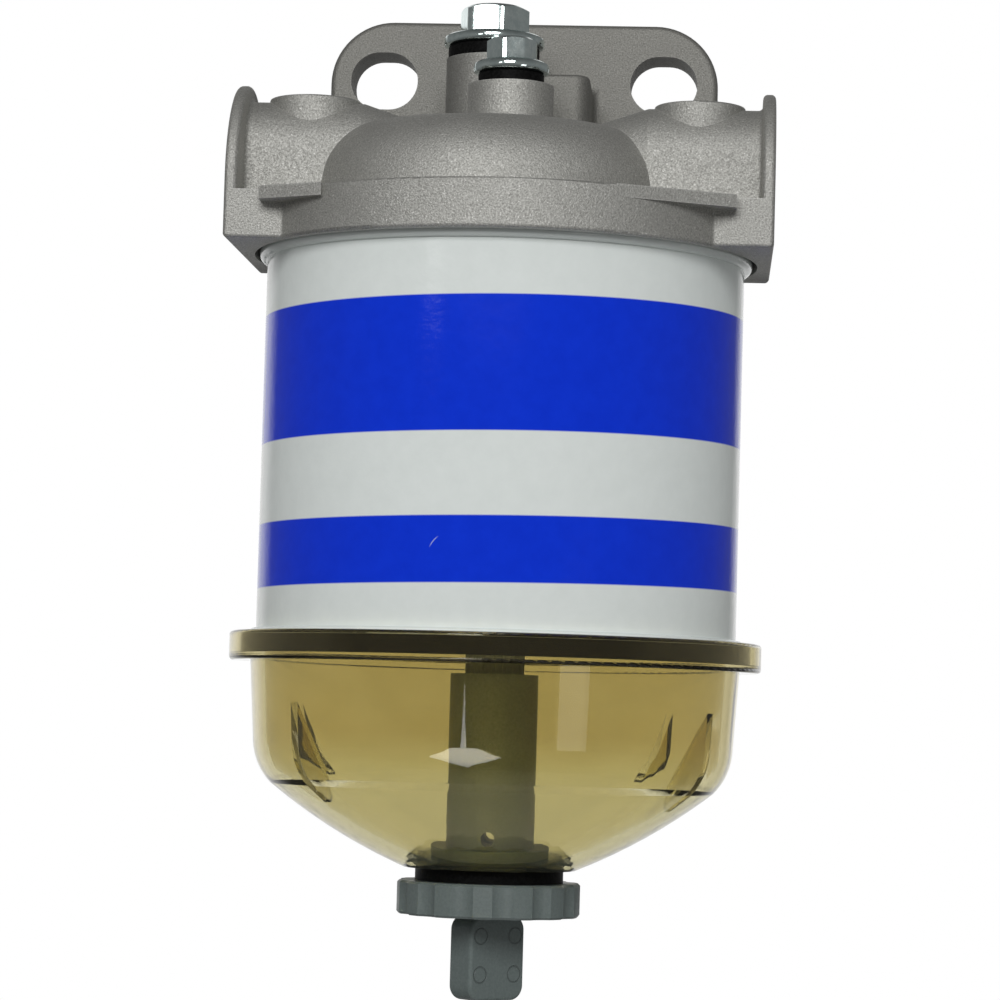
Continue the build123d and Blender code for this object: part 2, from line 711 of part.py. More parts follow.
# Centre column that the bolt screws into, its stem passing down through the bowl
with BuildPart() as centre_column:
    with BuildSketch(section):
        with BuildLine():
            Polyline(
                (0, stem_foot_z),
                (stem_radius, stem_foot_z),
                (stem_radius, bowl_floor_z),
                (column_flange_radius, bowl_floor_z),
                (column_flange_radius, bowl_floor_z + column_flange_height),
                (column_radius, bowl_floor_z + column_flange_height),
                (column_radius, shoulder_z),
                (neck_radius, shoulder_z),
                (neck_radius, neck_top_z),
                (0, neck_top_z),
                close=True,
            )
        make_face()
    revolve(axis=filter_axis)
    # Fine ribs round the foot of the neck
    with BuildSketch(level(shoulder_z)):
        with PolarLocations(neck_radius, neck_rib_count):
            Circle(neck_rib_depth)
    extrude(amount=can_foot_z - shoulder_z)
    # Socket of the brass insert, and room for the bolt's tip
    with BuildSketch(level(neck_top_z)):
        Circle(insert_radius + press_gap)
    extrude(amount=-insert_length, mode=Mode.SUBTRACT)
    with BuildSketch(level(insert_foot_z)):
        Circle(centre_bolt_radius + thread_clearance)
    extrude(amount=-bolt_end_room, mode=Mode.SUBTRACT)
    # Seat and thread of the drain screw, and the passage up to the weep holes
    with BuildSketch(level(stem_foot_z)):
        Circle(drain_seat_radius)
    extrude(amount=drain_seat_depth, mode=Mode.SUBTRACT)
    with BuildSketch(level(drain_seat_z)):
        Circle(drain_thread_radius + thread_clearance)
    extrude(amount=drain_thread_length, mode=Mode.SUBTRACT)
    with BuildSketch(level(drain_seat_z)):
        Circle(drain_bore_radius)
    extrude(amount=weep_z + drain_bore_radius - drain_seat_z, mode=Mode.SUBTRACT)
    for weep_turn in (0, 90):
        outward = (math.cos(math.radians(weep_turn)), math.sin(math.radians(weep_turn)), 0)
        with BuildSketch(Plane(origin=(0, axis_y, weep_z), x_dir=(0, 0, 1), z_dir=outward)):
            Circle(weep_radius)
        extrude(amount=column_flange_radius, both=True, mode=Mode.SUBTRACT)
centre_column.part.label = "centre_column"

# Brass insert in the column's neck
with BuildPart() as column_insert:
    with BuildSketch(level(insert_foot_z)):
        Circle(insert_radius)
        Circle(centre_bolt_radius + thread_clearance, mode=Mode.SUBTRACT)
    extrude(amount=insert_length)
column_insert.part.label = "column_insert"

# Rubber gasket between the bowl and the nut
with BuildPart() as bowl_gasket:
    with BuildSketch(level(nut_top_z)):
        Circle(gasket_radius)
        Circle(stem_hole_radius, mode=Mode.SUBTRACT)
    extrude(amount=gasket_thickness)
bowl_gasket.part.label = "bowl_gasket"

# Scalloped hand nut
with BuildPart() as bowl_nut:
    with BuildSketch(level(nut_foot_z)):
        Circle(nut_radius)
        with PolarLocations(nut_radius - nut_flute_depth + nut_flute_radius, nut_lobes):
            Circle(nut_flute_radius, mode=Mode.SUBTRACT)
    extrude(amount=nut_thickness)
    chamfer(bowl_nut.faces().filter_by(Axis.Z).edges(), nut_edge)
    with BuildSketch(level(nut_foot_z)):
        Circle(stem_radius + thread_clearance)
    extrude(amount=nut_thickness, mode=Mode.SUBTRACT)
bowl_nut.part.label = "bowl_nut"

# Drain screw with its flat tab
tab_along = (math.cos(math.radians(tab_turn)), math.sin(math.radians(tab_turn)), 0)
tab_across = (tab_along[1], -tab_along[0], 0)
tab_plane = Plane(origin=(0, axis_y, 0), x_dir=tab_along, z_dir=tab_across)
with BuildPart() as drain_screw:
    with BuildSketch(tab_plane):
        with Locations((0, (tab_foot_z + tab_top_z) / 2)):
            RectangleRounded(tab_width, tab_top_z - tab_foot_z, tab_corner)
    extrude(amount=tab_thickness / 2, both=True)
    fillet(drain_screw.faces().filter_by(tab_plane).edges(), tab_edge)
    with BuildSketch(level(tab_top_z - tab_corner)):
        Circle(tab_thickness / 2)
    extrude(amount=tab_corner)
    with BuildSketch(level(tab_top_z)):
        Circle(drain_seat_radius - thread_clearance)
    extrude(amount=drain_collar_z - tab_top_z)
    with BuildSketch(level(drain_collar_z)):
        Circle(drain_thread_radius)
    extrude(amount=drain_seat_z + drain_thread_length - thread_lead - drain_collar_z)
    chamfer(drain_screw.faces().sort_by(Axis.Z)[-1].edges(), thread_lead)
drain_screw.part.label = "drain_screw"

# O-ring between the drain screw's collar and its seat
with BuildPart() as drain_o_ring:
    with BuildSketch(section):
        with Locations((drain_thread_radius + seal_gap + drain_ring_section, drain_seat_z - drain_ring_section)):
            Circle(drain_ring_section)
    revolve(axis=filter_axis)
drain_o_ring.part.label = "drain_o_ring"


def flange_screw(name, x, behind, seat_z, flats, hex_height, hex_turn, flange, flange_height, shank, length):
    """Hexagon screw with a flange; its flange rests at seat_z and its shank hangs length below."""
    screw_plane = Plane(origin=(x, axis_y + behind, 0), x_dir=(1, 0, 0), z_dir=(0, -1, 0))
    screw_axis = Axis((x, axis_y + behind, 0), (0, 0, 1))
    top_z = seat_z + flange_height + hex_height
    corner = flats / math.sqrt(3)
    with BuildPart() as screw:
        with BuildSketch(Plane(origin=(x, axis_y + behind, seat_z), x_dir=(1, 0, 0), z_dir=(0, 0, 1))):
            RegularPolygon(flats / 2, 6, major_radius=False, rotation=hex_turn)
        extrude(amount=top_z - seat_z)
        # Crown of the hexagon, turned to a cone
        with BuildSketch(screw_plane):
            Polygon(
                (flats / 2 - thread_lead, top_z),
                (corner + thread_lead, top_z),
                (corner + thread_lead, top_z - (corner + 2 * thread_lead - flats / 2) * hex_crown_slope),
                align=None,
            )
        revolve(axis=screw_axis, mode=Mode.SUBTRACT)
        with BuildSketch(screw_plane):
            Polygon(
                (0, seat_z),
                (flange, seat_z),
                (flange, seat_z + flange_edge),
                (flats / 2, seat_z + flange_height),
                (0, seat_z + flange_height),
                align=None,
            )
        revolve(axis=screw_axis)
        with BuildSketch(Plane(origin=(x, axis_y + behind, seat_z), x_dir=(1, 0, 0), z_dir=(0, 0, 1))):
            Circle(shank)
        extrude(amount=-length)
        chamfer(screw.faces().sort_by(Axis.Z)[0].edges(), thread_lead)
    screw.part.label = name
    return screw


def screw_seal(name, x, behind, seat_z, thickness, outer, shank):
    """Rubber washer under a screw's flange, its rim rounded by the squeeze."""
    with BuildPart() as washer:
        with BuildSketch(Plane(origin=(x, axis_y + behind, seat_z), x_dir=(1, 0, 0), z_dir=(0, 0, 1))):
            Circle(outer)
            Circle(shank + seal_gap, mode=Mode.SUBTRACT)
        extrude(amount=thickness)
        rims = washer.edges().filter_by(GeomType.CIRCLE)
        fillet(rims.filter_by(lambda edge: abs(edge.radius - outer) < seal_gap / 2), seal_edge)
    washer.part.label = name
    return washer


centre_bolt = flange_screw(
    "centre_bolt", 0, 0, centre_seat_z + centre_seal_thickness,
    centre_hex, centre_hex_height, centre_hex_turn, centre_flange_radius, centre_flange_height,
    centre_bolt_radius, centre_seat_z + centre_seal_thickness - insert_foot_z + bolt_past_insert,
)
centre_bolt_seal = screw_seal(
    "centre_bolt_seal", 0, 0, centre_seat_z, centre_seal_thickness, centre_seal_radius, centre_bolt_radius,
)
bleed_screw = flange_screw(
    "bleed_screw", bleed_x, bleed_behind, bleed_seat_z + bleed_seal_thickness,
    bleed_hex, bleed_hex_height, bleed_hex_turn, bleed_flange_radius, bleed_flange_height,
    bleed_thread_radius, bleed_seal_thickness + bleed_thread_length,
)
bleed_screw_seal = screw_seal(
    "bleed_screw_seal", bleed_x, bleed_behind, bleed_seat_z, bleed_seal_thickness, bleed_seal_radius,
    bleed_thread_radius,
)

pieces = [
    filter_head,
    centre_bolt,
    centre_bolt_seal,
    bleed_screw,
    bleed_screw_seal,
    head_seal_ring,
    upper_centre_seal,
    element_can,
    element_top_cap,
    element_bottom_cap,
    element_centre_tube,
    element_paper,
    lower_centre_seal,
    bowl_seal_ring,
    sediment_bowl,
    centre_column,
    column_insert,
    bowl_gasket,
    bowl_nut,
    drain_screw,
    drain_o_ring,
]
os.makedirs("parts", exist_ok=True)
for piece in pieces:
    export_step(piece.part, f"parts/{piece.part.label}.step")
    print(piece.part.label, round(piece.part.volume / 1000, 2), "cm3", len(piece.part.solids()), "solid")
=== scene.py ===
# %% [markdown]
# # A fuel water separator
# Diesel runs through this unit on its way to the engine. A cast head hangs on the wall by two
# slots, a white can with a paper element is clamped under it, and a clear amber bowl at the foot
# catches water and dirt. The solids come from the CAD model as a fixed frame. This lesson gives
# them their light, their camera and their finishes, and makes the two top screws anew.

# %% Load the frame
import math
import bpy
from mathutils import Matrix, Vector


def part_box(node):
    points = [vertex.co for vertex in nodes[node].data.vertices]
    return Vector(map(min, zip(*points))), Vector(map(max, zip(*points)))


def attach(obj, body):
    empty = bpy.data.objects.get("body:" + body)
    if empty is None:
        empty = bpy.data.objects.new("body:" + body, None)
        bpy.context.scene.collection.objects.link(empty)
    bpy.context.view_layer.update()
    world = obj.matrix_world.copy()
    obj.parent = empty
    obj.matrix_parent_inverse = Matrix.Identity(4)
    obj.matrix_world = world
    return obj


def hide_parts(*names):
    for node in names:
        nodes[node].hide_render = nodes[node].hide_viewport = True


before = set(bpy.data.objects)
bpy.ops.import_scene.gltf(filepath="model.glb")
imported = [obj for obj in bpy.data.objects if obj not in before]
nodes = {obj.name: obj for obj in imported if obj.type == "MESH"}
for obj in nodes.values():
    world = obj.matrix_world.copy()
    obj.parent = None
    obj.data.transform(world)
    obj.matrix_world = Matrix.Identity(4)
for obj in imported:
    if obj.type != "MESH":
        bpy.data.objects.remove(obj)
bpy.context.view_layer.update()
MM = 0.001

# %% [markdown]
# ## Where the axis runs
# Everything below the head turns about one upright line, so its place is read from the can once
# and used for the camera, the floor and the finishes that go by place.

# %% The filter's axis
can_low, can_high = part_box("element_can")
axis_y = (can_low.y + can_high.y) / 2
foot_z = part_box("drain_screw")[0].z
print("axis at y", round(axis_y / MM, 1), "mm, foot at z", round(foot_z / MM, 1), "mm")

# %% [markdown]
# ## Camera
# The photograph was taken from about 0.6 m, a touch below the middle of the can and a touch to
# its right, with the camera tilted a little so that the top leans right. A long lens from that
# distance keeps the ears and the rim in the photograph's proportions.

# %% Camera
VIEW_DISTANCE = 612 * MM
VIEW_TURN = math.radians(3.5)       # to the right of straight ahead
VIEW_RISE = math.radians(-3.62)     # the camera looks slightly up
VIEW_ROLL = math.radians(1.6)
VIEW_TARGET = Vector((0, axis_y, -82.3 * MM))
FOCAL_PIXELS = 3440
IMAGE_SIDE = 1000
IMAGE_SHIFT = 0.5                   # the axis stands this many pixels left of the middle

back = Vector((
    math.sin(VIEW_TURN) * math.cos(VIEW_RISE),
    -math.cos(VIEW_TURN) * math.cos(VIEW_RISE),
    math.sin(VIEW_RISE),
))
camera_data = bpy.data.cameras.new("view")
camera = bpy.data.objects.new("view", camera_data)
bpy.context.scene.collection.objects.link(camera)
camera_data.sensor_width = 36
camera_data.lens = FOCAL_PIXELS / IMAGE_SIDE * camera_data.sensor_width
camera_data.shift_x = IMAGE_SHIFT / IMAGE_SIDE
camera_data.clip_start = 0.02
upright = (-back).to_track_quat("-Z", "Y").to_matrix()
camera.matrix_world = Matrix.Translation(VIEW_TARGET + back * VIEW_DISTANCE) @ (
    upright @ Matrix.Rotation(VIEW_ROLL, 3, "Z")
).to_4x4()
bpy.context.scene.camera = camera
print("camera at", [round(v / MM) for v in camera.matrix_world.translation], "mm")

# %% [markdown]
# ## A small helper for shader trees
# Every finish below is a tree of nodes. One function that adds a node, sets it and wires its
# inputs keeps each finish short enough to read as a recipe.

# %% Helpers for node trees
def add(tree, kind, inputs=None, **settings):
    """A shader node with its settings; each input is a plain value or the socket that feeds it."""
    made = tree.nodes.new("ShaderNode" + kind)
    for name, value in settings.items():
        setattr(made, name, value)
    for socket, value in (inputs or {}).items():
        if isinstance(value, bpy.types.NodeSocket):
            tree.links.new(value, made.inputs[socket])
        else:
            made.inputs[socket].default_value = value
    return made


def mapped(tree, value, low, high, new_low, new_high):
    """The value carried from one range to another, held inside the new one."""
    return add(tree, "MapRange", {
        "Value": value, "From Min": low, "From Max": high, "To Min": new_low, "To Max": new_high,
    }).outputs["Result"]


def blended(tree, mask, first, second):
    """Colour that goes from first to second as the mask goes from 0 to 1."""
    mix = add(tree, "Mix", data_type="RGBA")
    for socket, value in ((0, mask), (6, first), (7, second)):
        if isinstance(value, bpy.types.NodeSocket):
            tree.links.new(value, mix.inputs[socket])
        elif socket:
            mix.inputs[socket].default_value = (*value, 1)
        else:
            mix.inputs[socket].default_value = value
    return mix.outputs[2]


def math_node(tree, operation, first, second=0.0):
    """Result of one sum on values or sockets."""
    return add(tree, "Math", {0: first, 1: second}, operation=operation).outputs[0]


# %% [markdown]
# ## Effects that several finishes share
# Grain, worn edges and the faint unevenness left by hands and moulds show on more than one
# material. Each is a node group with named inputs, so a finish only says how coarse or how strong
# it is there.

# %% Start of an effect group
def effect(name, takes, gives):
    """A new shader group, with the sockets inside it that bring its inputs and take its results."""
    group = bpy.data.node_groups.new(name, "ShaderNodeTree")
    for socket, start in takes.items():
        made = group.interface.new_socket(name=socket, in_out="INPUT", socket_type="NodeSocketFloat")
        made.default_value = start
    for socket, kind in gives.items():
        group.interface.new_socket(name=socket, in_out="OUTPUT", socket_type="NodeSocket" + kind)
    return group, group.nodes.new("NodeGroupInput").outputs, group.nodes.new("NodeGroupOutput").inputs


def place(tree, group, **values):
    """The effect group placed in a material, with this material's own values."""
    made = tree.nodes.new("ShaderNodeGroup")
    made.node_tree = group
    for socket, value in values.items():
        made.inputs[socket].default_value = value
    return made.outputs


# %% Grain: fine bumps with a speckle of light and dark
grain, given, result = effect(
    "grain", {"Size": 0.3, "Depth": 0.5}, {"Speckle": "Float", "Normal": "Vector"})
spot = add(grain, "TexCoord").outputs["Object"]
density = math_node(grain, "DIVIDE", 1 / MM, given["Size"])
fine = add(grain, "TexNoise", {"Vector": spot, "Scale": density, "Detail": 3.0, "Roughness": 0.6})
grain.links.new(fine.outputs["Fac"], result["Speckle"])
bump = add(grain, "Bump", {
    "Height": fine.outputs["Fac"], "Strength": given["Depth"],
    "Distance": math_node(grain, "MULTIPLY", given["Size"], MM),
})
grain.links.new(bump.outputs["Normal"], result["Normal"])

# %% Worn edges: where the rounded normal leaves the true one
edges, given, result = effect("worn edges", {"Width": 0.5}, {"Mask": "Float"})
rounded = add(edges, "Bevel", {"Radius": math_node(edges, "MULTIPLY", given["Width"], MM)}, samples=4)
true = add(edges, "NewGeometry").outputs["Normal"]
along = add(edges, "VectorMath", {0: rounded.outputs["Normal"], 1: true}, operation="DOT_PRODUCT")
edges.links.new(mapped(edges, along.outputs["Value"], 0.98, 0.75, 0.0, 1.0), result["Mask"])

# %% Unevenness: slow changes of gloss over centimetres
uneven, given, result = effect("unevenness", {"Size": 20.0, "Low": 0.3, "High": 0.4}, {"Value": "Float"})
spot = add(uneven, "TexCoord").outputs["Object"]
slow = add(uneven, "TexNoise", {
    "Vector": spot, "Scale": math_node(uneven, "DIVIDE", 1 / MM, given["Size"]), "Detail": 2.0,
})
spread = add(uneven, "MapRange", {
    "Value": slow.outputs["Fac"], "From Min": 0.35, "From Max": 0.65,
    "To Min": given["Low"], "To Max": given["High"],
})
uneven.links.new(spread.outputs["Result"], result["Value"])
print("effects:", [group.name for group in bpy.data.node_groups])

# %% [markdown]
# ## Starting a finish
# Each material begins the same way: an empty tree, one Principled shader and the output. Numbers
# that hold all over the surface are set on the shader's own sockets.

# %% Start of a finish
def finish(name, **plain):
    """A new material with a Principled shader set to these plain values."""
    material = bpy.data.materials.new(name)
    material.use_nodes = True
    tree = material.node_tree
    shader = tree.nodes["Principled BSDF"]
    for socket, value in plain.items():
        shader.inputs[socket.replace("_", " ")].default_value = value
    return material, tree, shader


def dress(material, *names):
    """Puts the material on these CAD nodes."""
    for name in names:
        mesh = nodes[name].data
        mesh.materials.clear()
        mesh.materials.append(material)
    print(material.name, "on", ", ".join(names))


# %% [markdown]
# ## Cast aluminium
# The head is a die casting that was shot-blasted. Its skin is a matt grey metal with a grain of
# about a third of a millimetre with a few bright flecks, and the tumbling left its edges a little
# brighter. A rough metal with the grain in colour and in bump gives both. Towards the wall the
# casting lies in the shade of the bosses in front. That shade is painted: its colour falls off to a
# darker grey over a short way there.

# %% Cast aluminium
PAINTED_SHADE_FROM = -46            # where the painted shade starts and where it is darkest, in mm
PAINTED_SHADE_TO = -34
cast, tree, shader = finish("cast_aluminium", Metallic=0.85)
skin = place(tree, grain, Size=0.3, Depth=0.5)
worn = place(tree, edges, Width=0.5)
cloud = place(tree, uneven, Size=9.0, Low=0.0, High=1.0)
speckle = mapped(tree, skin["Speckle"], 0.3, 0.7, 0.0, 1.0)
body = blended(tree, speckle, (0.325, 0.322, 0.3), (0.605, 0.601, 0.57))
flecks = mapped(tree, skin["Speckle"], 0.66, 0.72, 0.0, 0.6)
body = blended(tree, mapped(tree, cloud["Value"], 0, 1, 0, 0.2), body, (0.36, 0.355, 0.335))
body = blended(tree, flecks, body, (0.95, 0.95, 0.93))
body = blended(tree, mapped(tree, worn["Mask"], 0, 1, 0, 0.45), body, (0.72, 0.72, 0.70))
depth = add(tree, "SeparateXYZ", {"Vector": add(tree, "TexCoord").outputs["Object"]}).outputs["Y"]
# painted shade: the casting's colour darkens towards the wall, where the bosses in front shade it
body = blended(tree, mapped(tree, depth, PAINTED_SHADE_FROM * MM, PAINTED_SHADE_TO * MM, 0, 0.68), body, (0.20, 0.196, 0.178))
tree.links.new(body, shader.inputs["Base Color"])
tree.links.new(mapped(tree, skin["Speckle"], 0.3, 0.7, 0.7, 0.56), shader.inputs["Roughness"])
tree.links.new(skin["Normal"], shader.inputs["Normal"])
dress(cast, "filter_head")

# %% [markdown]
# ## Bright zinc
# The two top screws are zinc plated. The plating is almost a mirror, softened by the forged
# surface under it, with a cool blue-green cast.

# %% Zinc plate
zinc, tree, shader = finish("zinc_steel", Metallic=1.0)
skin = place(tree, grain, Size=1.4, Depth=0.02)
cloud = place(tree, uneven, Size=4.0, Low=0.08, High=0.15)
tree.links.new(
    blended(tree, mapped(tree, skin["Speckle"], 0.35, 0.65, 0, 1), (0.68, 0.79, 0.78), (0.82, 0.92, 0.90)),
    shader.inputs["Base Color"])
tree.links.new(cloud["Value"], shader.inputs["Roughness"])
tree.links.new(skin["Normal"], shader.inputs["Normal"])
print(zinc.name, "is ready for the screws")

# %% [markdown]
# ## The two top screws
# Each screw has a fat rounded flange, a low hexagon with a turned crown, and a thread that shows
# when it is backed out. The CAD model's screws are plainer and a little too tall, so these stand in
# for them. A screw is all rings round one axis: a ring may be a circle, a hexagon or a slice of the
# thread, and joining each ring to the next gives flats, crown and helix without any cutting.

# %% Rings of a screw
ROUND = 72                  # points on a ring, twelve to a facet
CORNER_ROUND = 0.12         # how far the hexagon's corners are rounded off, in mm
CROWN_SLOPE = 0.58
CROWN_IN = 0.6              # from the flats in to the crown's flat top
THREAD_SLICES = 8           # rings for one turn of the thread
THREAD_DEPTH = 0.58         # as a share of the pitch
THREAD_FLAT = 0.1           # the flat crest, and the flat root, as a share of the pitch
THREAD_LEAD = 0.7           # chamfer at the thread's foot
SHARP_FROM = math.radians(28)   # edges that turn more than this stay sharp


def circle(radius, z):
    """A ring of one radius at one height, in mm."""
    return [(radius, z)] * ROUND


def hexagon(flats, z, slope=0.0):
    """A ring with six flats; with a slope its points drop from z along the turned crown."""
    ring = []
    for step in range(ROUND):
        off_middle = math.radians((step * 360 / ROUND + 30) % 60 - 30)
        radius = min(flats / 2 / math.cos(off_middle), flats / math.sqrt(3) - CORNER_ROUND)
        ring.append((radius, z - (radius - flats / 2 + CROWN_IN) * slope))
    return ring


def thread(crest, low, high, pitch):
    """Rings of a right-hand thread that runs out at its upper end and starts with a chamfer."""
    rings = []
    slices = round((high - low) / pitch * THREAD_SLICES)
    for slice_number in range(slices + 1):
        z = low + (high - low) * slice_number / slices
        depth = THREAD_DEPTH * pitch * min(1, (high - z) / pitch)
        ring = []
        for step in range(ROUND):
            along = (z / pitch - step / ROUND) % 1
            flank = (abs(2 * along - 1) - THREAD_FLAT) / (1 - 2 * THREAD_FLAT)
            flank = min(1, max(0, flank))
            ring.append((min(crest - depth * flank, crest - THREAD_LEAD + (z - low)), z))
        rings.append(ring)
    return rings


# %% One screw
RIM_PROFILE = (             # the flange's rounded rim: out from its radius, and up from the seal
    (-0.5, 0), (-0.15, 0.15), (0, 0.5), (0, 1.3), (-0.15, 1.65), (-0.6, 1.95),
)
FLANGE_TOP = 2.3            # where the flange meets the hexagon
FLANGE_OUT = 0.3            # beyond the hexagon's corners
HEXAGON_FOOT = 2.35


def screw(node, seal, flats, turn, flange, height, crest, threaded, pitch):
    """One flange screw in place of a CAD node, resting on its seal; sizes in mm."""
    low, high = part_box(node)
    middle = (low + high) / 2
    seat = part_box(seal)[1].z / MM
    foot = low.z / MM
    rings = thread(crest, foot, foot + threaded, pitch)
    rings.append(circle(crest, seat))
    rings += [circle(flange + out, seat + up) for out, up in RIM_PROFILE]
    rings.append(circle(flats / math.sqrt(3) + FLANGE_OUT, seat + FLANGE_TOP))
    rings.append(hexagon(flats, seat + HEXAGON_FOOT))
    rings.append(hexagon(flats, seat + height, CROWN_SLOPE))
    rings.append(circle(flats / 2 - CROWN_IN, seat + height))
    points, faces = [], []
    for ring in rings:
        for step, (radius, z) in enumerate(ring):
            angle = math.radians(turn + 30 + step * 360 / ROUND)
            out = Vector((math.cos(angle), math.sin(angle), 0)) * radius * MM
            points.append((middle.x + out.x, middle.y + out.y, z * MM))
    for first in range(0, len(points) - ROUND, ROUND):
        for step in range(ROUND):
            after = (step + 1) % ROUND
            faces.append((first + step, first + after, first + ROUND + after, first + ROUND + step))
    faces.append(tuple(reversed(range(ROUND))))
    faces.append(tuple(range(len(points) - ROUND, len(points))))
    mesh = bpy.data.meshes.new(node + "_dressed")
    mesh.from_pydata(points, [], faces)
    mesh.shade_smooth()
    mesh.set_sharp_from_angle(angle=SHARP_FROM)
    mesh.materials.append(zinc)
    piece = bpy.data.objects.new(node + "_dressed", mesh)
    bpy.context.scene.collection.objects.link(piece)
    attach(piece, node)
    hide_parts(node)
    print(piece.name, "has", len(rings), "rings and stands", height, "mm above its seal")


# %% Both screws
screw("centre_bolt", "centre_bolt_seal", flats=8.1, turn=12.4, flange=6.8, height=6.4,
      crest=3.0, threaded=14.0, pitch=1.0)
screw("bleed_screw", "bleed_screw_seal", flats=11.6, turn=-12.5, flange=9.25, height=7.4,
      crest=4.0, threaded=11.0, pitch=1.25)

# %% [markdown]
# ## Rubber
# Seals and gaskets are black moulded rubber. Its colour is a few thousandths above black, with
# faint grain and an uneven gloss, because a plain black would look like a hole. It mirrors little
# of the key lamp, so its direct reflection is set low.

# %% Black rubber
rubber, tree, shader = finish("black_rubber", Specular_IOR_Level=0.04)
skin = place(tree, grain, Size=0.5, Depth=0.15)
cloud = place(tree, uneven, Size=6.0, Low=0.38, High=0.55)
tint = mapped(tree, skin["Speckle"], 0.35, 0.65, 0, 1)
tree.links.new(
    blended(tree, tint, (0.003, 0.003, 0.003), (0.009, 0.009, 0.009)), shader.inputs["Base Color"])
tree.links.new(cloud["Value"], shader.inputs["Roughness"])
tree.links.new(skin["Normal"], shader.inputs["Normal"])
dress(rubber, "centre_bolt_seal", "bleed_screw_seal", "head_seal_ring", "upper_centre_seal",
      "lower_centre_seal", "bowl_seal_ring", "bowl_gasket", "drain_o_ring")

# %% [markdown]
# ## Painted can
# The can is white enamel with two printed bands of blue. The bands are rings, so they are found by
# height alone. No words stand on them. A fine scratch on the lower band goes down to the primer:
# it is a short, slightly bent line, found by its distance along and across in the turned x and z.

# %% Painted can
BANDS = ((-50.6, -73.4), (-87.5, -98.7))     # top and foot of each blue band, in mm
PRINT_LEAN = 0.018                           # the print runs a touch out of square with the can
BAND_EDGE = 0.12
SCRATCH_AT = (-8.3, -92.0)                   # x and z of its middle
SCRATCH_TILT = math.radians(52)
SCRATCH_HALF = 1.25
SCRATCH_WIDTH = 0.11
SCRATCH_BEND = 0.12


def scratch_mask(tree, spot):
    """One on the scratch in the can's front, fading out towards both of its ends."""
    middle_x, middle_z = SCRATCH_AT
    across = math_node(tree, "SUBTRACT", spot["X"], middle_x * MM)
    up = math_node(tree, "SUBTRACT", spot["Z"], middle_z * MM)
    cosine, sine = math.cos(SCRATCH_TILT), math.sin(SCRATCH_TILT)
    along = math_node(
        tree, "ADD", math_node(tree, "MULTIPLY", across, cosine), math_node(tree, "MULTIPLY", up, sine))
    aside = math_node(
        tree, "SUBTRACT", math_node(tree, "MULTIPLY", up, cosine), math_node(tree, "MULTIPLY", across, sine))
    bend = math_node(tree, "MULTIPLY", math_node(tree, "POWER", along, 2), SCRATCH_BEND / MM)
    aside = math_node(tree, "ABSOLUTE", math_node(tree, "ADD", aside, bend))
    along = math_node(tree, "ABSOLUTE", along)
    mask = math_node(
        tree, "MULTIPLY",
        mapped(tree, aside, SCRATCH_WIDTH / 2 * MM, SCRATCH_WIDTH * MM, 0.6, 0),
        mapped(tree, along, SCRATCH_HALF * 0.4 * MM, SCRATCH_HALF * MM, 1, 0))
    return math_node(tree, "MULTIPLY", mask, mapped(tree, spot["Y"], axis_y, axis_y - MM, 0, 1))


enamel, tree, shader = finish("white_enamel", Specular_IOR_Level=0.22)
spot = add(tree, "SeparateXYZ", {"Vector": add(tree, "TexCoord").outputs["Object"]}).outputs
height = math_node(tree, "SUBTRACT", spot["Z"], math_node(tree, "MULTIPLY", spot["X"], PRINT_LEAN))
blue = None
for top, foot in BANDS:
    below_top = mapped(tree, height, (top + BAND_EDGE) * MM, (top - BAND_EDGE) * MM, 0, 1)
    above_foot = mapped(tree, height, (foot - BAND_EDGE) * MM, (foot + BAND_EDGE) * MM, 0, 1)
    inside = math_node(tree, "MULTIPLY", below_top, above_foot)
    blue = inside if blue is None else math_node(tree, "ADD", blue, inside)
skin = place(tree, grain, Size=3.0, Depth=0.02)
cloud = place(tree, uneven, Size=25.0, Low=0.08, High=0.12)
tint = mapped(tree, skin["Speckle"], 0.3, 0.7, 0, 1)
white = blended(tree, tint, (0.74, 0.785, 0.765), (0.77, 0.815, 0.795))
ink = blended(tree, tint, (0.002, 0.033, 0.66), (0.003, 0.038, 0.71))
painted = blended(tree, blue, white, ink)
painted = blended(tree, scratch_mask(tree, spot), painted, (0.55, 0.62, 0.78))
tree.links.new(painted, shader.inputs["Base Color"])
tree.links.new(cloud["Value"], shader.inputs["Roughness"])
tree.links.new(skin["Normal"], shader.inputs["Normal"])
dress(enamel, "element_can")

# %% [markdown]
# ## Inside the element
# Tinned sheet, pleated paper and a brass insert can't be seen with the unit closed, but each has
# its finish for anyone who opens it.

# %% Tinned sheet, paper and brass
tin, tree, shader = finish("tinned_sheet", Metallic=1.0)
skin = place(tree, grain, Size=2.0, Depth=0.05)
tree.links.new(
    blended(tree, skin["Speckle"], (0.45, 0.45, 0.43), (0.66, 0.66, 0.64)), shader.inputs["Base Color"])
tree.links.new(place(tree, uneven, Size=8.0, Low=0.25, High=0.4)["Value"], shader.inputs["Roughness"])
tree.links.new(skin["Normal"], shader.inputs["Normal"])
dress(tin, "element_top_cap", "element_bottom_cap", "element_centre_tube")

paper, tree, shader = finish("filter_paper", Roughness=0.9)
skin = place(tree, grain, Size=0.25, Depth=0.5)
tree.links.new(
    blended(tree, skin["Speckle"], (0.52, 0.42, 0.24), (0.74, 0.64, 0.42)), shader.inputs["Base Color"])
tree.links.new(skin["Normal"], shader.inputs["Normal"])
dress(paper, "element_paper")

brass, tree, shader = finish("brass_insert", Metallic=1.0)
skin = place(tree, grain, Size=0.8, Depth=0.08)
tree.links.new(
    blended(tree, skin["Speckle"], (0.58, 0.40, 0.14), (0.78, 0.58, 0.26)), shader.inputs["Base Color"])
tree.links.new(place(tree, uneven, Size=3.0, Low=0.25, High=0.4)["Value"], shader.inputs["Roughness"])
tree.links.new(skin["Normal"], shader.inputs["Normal"])
dress(brass, "column_insert")
